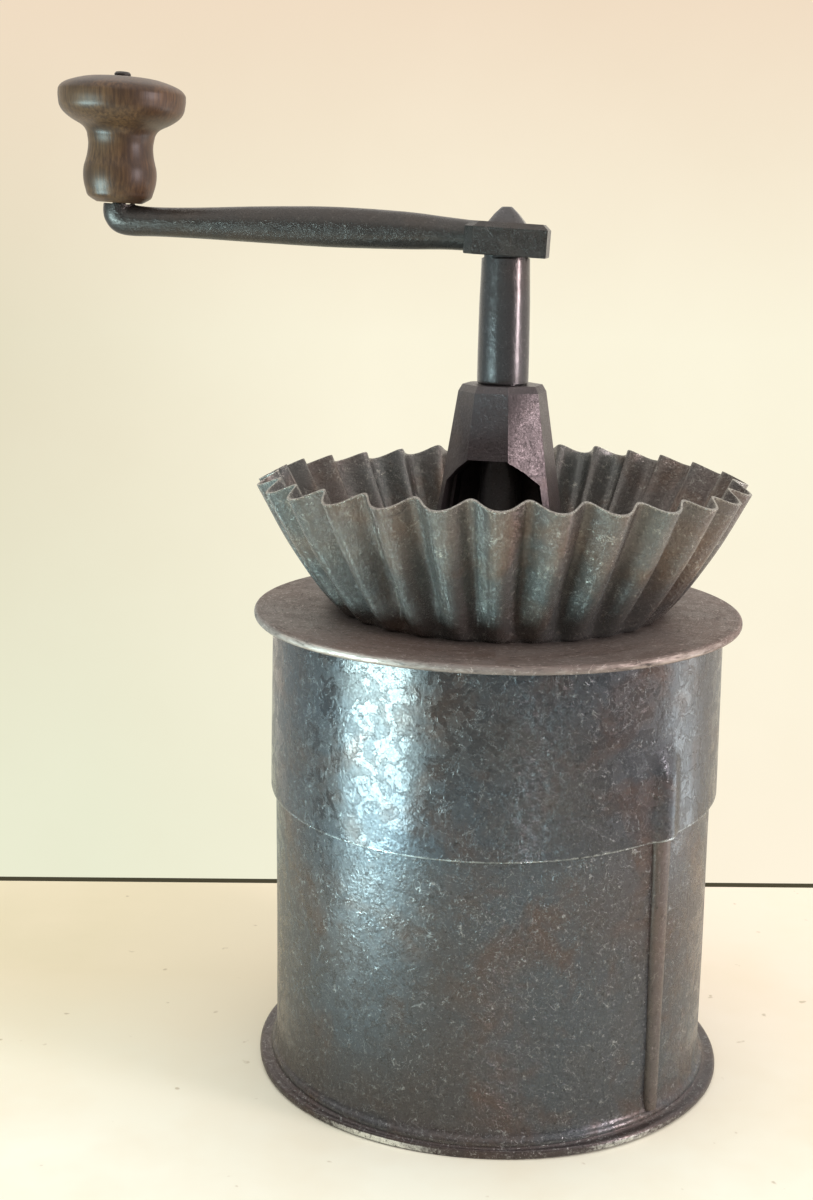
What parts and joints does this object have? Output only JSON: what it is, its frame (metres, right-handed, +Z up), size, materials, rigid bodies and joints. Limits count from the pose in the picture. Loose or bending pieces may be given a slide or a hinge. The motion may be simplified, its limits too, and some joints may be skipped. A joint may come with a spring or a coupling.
{
  "type": "hand crank coffee grinder",
  "caption": "Sheet-iron coffee mill: a fluted hopper and cranked burr mill whose head lifts off the round can that catches the grounds.",
  "frame": {"origin": "on the mill's axis, at the flat underside of the base plate", "axes": "+Z up along the spindle, -Y to the front, the crank points to -X at rest"},
  "size_m": [0.1859, 0.132, 0.2701],
  "materials": {
    "can_iron": "dark patinated sheet iron, satin",
    "head_iron": "dark patinated sheet iron with scale and fine scratches",
    "plate_iron": "brown patinated sheet iron, worn bright at the rim",
    "hopper_iron": "dark fluted sheet iron, speckled on the crests",
    "forged_iron": "forged and filed iron, brown patina",
    "spindle_iron": "turned dark iron, polished by use",
    "crank_iron": "forged iron, worn smooth",
    "burr_steel": "hardened cut steel",
    "rivet_iron": "hammered rivet heads",
    "turned_wood": "turned, stained and waxed"
  },
  "bodies": {
    "receiver": {"base_plate": "can_iron", "receiver_can": "can_iron", "key_rib": "can_iron"},
    "mill_head": {"sleeve": "head_iron", "top_plate": "plate_iron", "hopper": "hopper_iron", "bridge": "forged_iron", "bridge_rivets": "rivet_iron", "burr_ring": "burr_steel", "stirrup": "forged_iron", "stirrup_rivets": "rivet_iron", "lock_nut": "forged_iron"},
    "footstep": {"footstep": "burr_steel"},
    "spindle": {"spindle": "spindle_iron", "burr_cone": "burr_steel", "cone_pin": "rivet_iron", "crank_arm": "crank_iron", "knob_pin": "crank_iron"},
    "knob": {"knob": "turned_wood"},
    "grind_screw": {"adjusting_screw": "spindle_iron"}
  },
  "joints": [
    {"name": "head_lift", "type": "slide", "parent": "receiver", "child": "mill_head", "axis": [0, 0, 1], "range_m": [0, 0.08]},
    {"name": "grind_set", "type": "slide", "parent": "mill_head", "child": "footstep", "axis": [0, 0, 1], "range_m": [0, 0.002]},
    {"name": "crank_turn", "type": "hinge", "parent": "footstep", "child": "spindle", "pos_m": [0, 0, 0.18], "axis": [0, 0, 1], "continuous": true},
    {"name": "knob_spin", "type": "hinge", "parent": "spindle", "child": "knob", "pos_m": [-0.10401, 0.0091, 0.2362], "axis": [0.0504, -0.0044, 0.9987], "continuous": true},
    {"name": "adjuster_turn", "type": "hinge", "parent": "footstep", "child": "grind_screw", "pos_m": [0, 0, 0.09], "axis": [0, 0, 1], "range_deg": [0, 480.1]}
  ],
  "couplings": [
    {"joint": "adjuster_turn", "follows": "grind_set", "rad_per_m": 4188.8}
  ]
}
